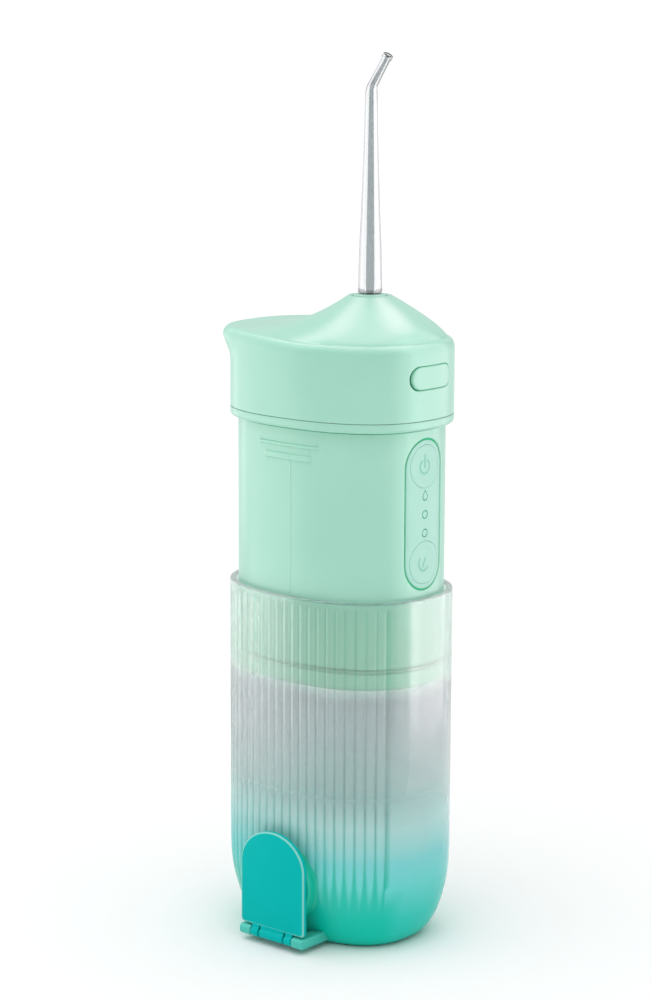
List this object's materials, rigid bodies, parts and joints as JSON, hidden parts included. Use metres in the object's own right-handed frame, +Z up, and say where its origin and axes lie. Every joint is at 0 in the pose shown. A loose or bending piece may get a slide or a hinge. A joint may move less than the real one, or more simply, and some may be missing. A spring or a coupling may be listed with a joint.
{
  "type": "cordless water flosser",
  "caption": "Telescopic water flosser: oval ribbed water tank with a hinged fill flap, a motor unit that slides down into it, and a turning, pull-out bent jet tip.",
  "frame": {"origin": "centre of the tank's flat base, where it stands", "axes": "+Z up along the tank, +X towards the narrow front with the control panel, -Y towards the broad side with the fill flap"},
  "size_m": [0.0701, 0.0569, 0.2565],
  "materials": {
    "mint": "glossy moulded ABS, mint green",
    "mint_soft": "satin mint keys and panel",
    "teal": "satin saturated teal",
    "frosted": "frosted clear tank, turning teal towards its bottom",
    "clear": "clear polycarbonate",
    "light_pipe": "translucent light pipe",
    "white_plastic": "natural acetal, inner parts",
    "silicone": "translucent silicone",
    "rubber": "black nitrile seals",
    "steel": "plain steel",
    "brass": "cut brass",
    "circuit": "green circuit board",
    "cell_wrap": "blue wrap over the cell's can"
  },
  "bodies": {
    "tank": {"water_tank": "frosted", "flap_hinge_pin": "steel", "pickup_tube": "clear"},
    "flap": {"fill_flap": "teal", "flap_stopper": "silicone"},
    "motor_unit": {"body_shell": "mint", "body_bottom_cap": "mint", "body_seal_ring": "rubber", "cap_screw_1": "steel", "cap_screw_2": "steel", "control_panel": "mint_soft", "led_pipe_upper": "light_pipe", "led_pipe_middle": "light_pipe", "led_pipe_lower": "light_pipe", "control_board": "circuit", "power_switch": "rubber", "mode_switch": "rubber", "inner_chassis": "white_plastic", "battery_cell": "cell_wrap", "battery_cradle": "white_plastic", "motor_case": "steel", "motor_screw_1": "steel", "motor_screw_2": "steel", "gear_axle": "steel", "pump_cylinder": "white_plastic", "pump_head": "white_plastic", "tube_sleeve": "white_plastic", "tube_gland": "rubber", "inlet_hose": "silicone", "outlet_tube": "white_plastic", "charge_connector": "steel", "charge_board": "circuit", "head_trim_ring": "mint", "head_shell": "mint", "latch_guide": "white_plastic", "latch_spring": "steel", "nozzle_oring": "rubber"},
    "power_key": {"power_button": "mint_soft"},
    "mode_key": {"mode_button": "mint_soft"},
    "release": {"release_button": "mint_soft", "tip_latch": "white_plastic"},
    "cover": {"port_cover": "silicone"},
    "seat": {"nozzle_seat": "mint"},
    "tip": {"jet_tip": "clear"},
    "gear": {"reduction_gear": "white_plastic"},
    "rotor": {"motor_pinion": "brass"},
    "piston": {"piston_yoke": "white_plastic", "piston_seal": "rubber"},
    "inlet_ball": {"inlet_valve_ball": "steel"},
    "outlet_ball": {"outlet_valve_ball": "steel"}
  },
  "joints": [
    {"name": "body_slide", "type": "slide", "parent": "tank", "child": "motor_unit", "axis": [0, 0, 1], "range_m": [-0.0478, 0]},
    {"name": "flap_hinge", "type": "hinge", "parent": "tank", "child": "flap", "pos_m": [0, -0.0296, 0.0033], "axis": [1, 0, 0], "range_deg": [0, 90]},
    {"name": "power_press", "type": "slide", "parent": "motor_unit", "child": "power_key", "axis": [-1, 0, 0], "range_m": [0, 0.0004], "stiffness_N_per_m": 4000, "springref_m": -0.0001},
    {"name": "mode_press", "type": "slide", "parent": "motor_unit", "child": "mode_key", "axis": [-1, 0, 0], "range_m": [0, 0.0004], "stiffness_N_per_m": 4000, "springref_m": -0.0001},
    {"name": "release_press", "type": "slide", "parent": "motor_unit", "child": "release", "axis": [-1, 0, 0], "range_m": [0, 0.0015], "stiffness_N_per_m": 1200, "springref_m": -0.0005, "deforming": ["latch_spring"]},
    {"name": "cover_hinge", "type": "hinge", "parent": "motor_unit", "child": "cover", "pos_m": [-0.0336, 0, 0.15625], "axis": [0, -1, 0], "range_deg": [0, 90]},
    {"name": "nozzle_spin", "type": "hinge", "parent": "motor_unit", "child": "seat", "pos_m": [0.0104, 0, 0.18], "axis": [0, 0, 1], "continuous": true},
    {"name": "tip_pull", "type": "slide", "parent": "seat", "child": "tip", "axis": [0, 0, 1], "range_m": [0, 0.027]},
    {"name": "gear_spin", "type": "hinge", "parent": "motor_unit", "child": "gear", "pos_m": [0.0104, 0, 0.109], "axis": [0, 1, 0], "continuous": true},
    {"name": "motor_spin", "type": "hinge", "parent": "motor_unit", "child": "rotor", "pos_m": [0.0104, 0, 0.093], "axis": [0, 1, 0], "continuous": true},
    {"name": "piston_slide", "type": "slide", "parent": "motor_unit", "child": "piston", "axis": [0, 0, 1], "range_m": [-0.0035, 0.0035]},
    {"name": "inlet_valve_lift", "type": "slide", "parent": "motor_unit", "child": "inlet_ball", "axis": [0, 0, 1], "range_m": [0, 0.0008]},
    {"name": "outlet_valve_lift", "type": "slide", "parent": "motor_unit", "child": "outlet_ball", "axis": [0, 0, 1], "range_m": [0, 0.001]}
  ],
  "couplings": [
    {"joint": "motor_spin", "follows": "gear_spin", "ratio": -3}
  ]
}
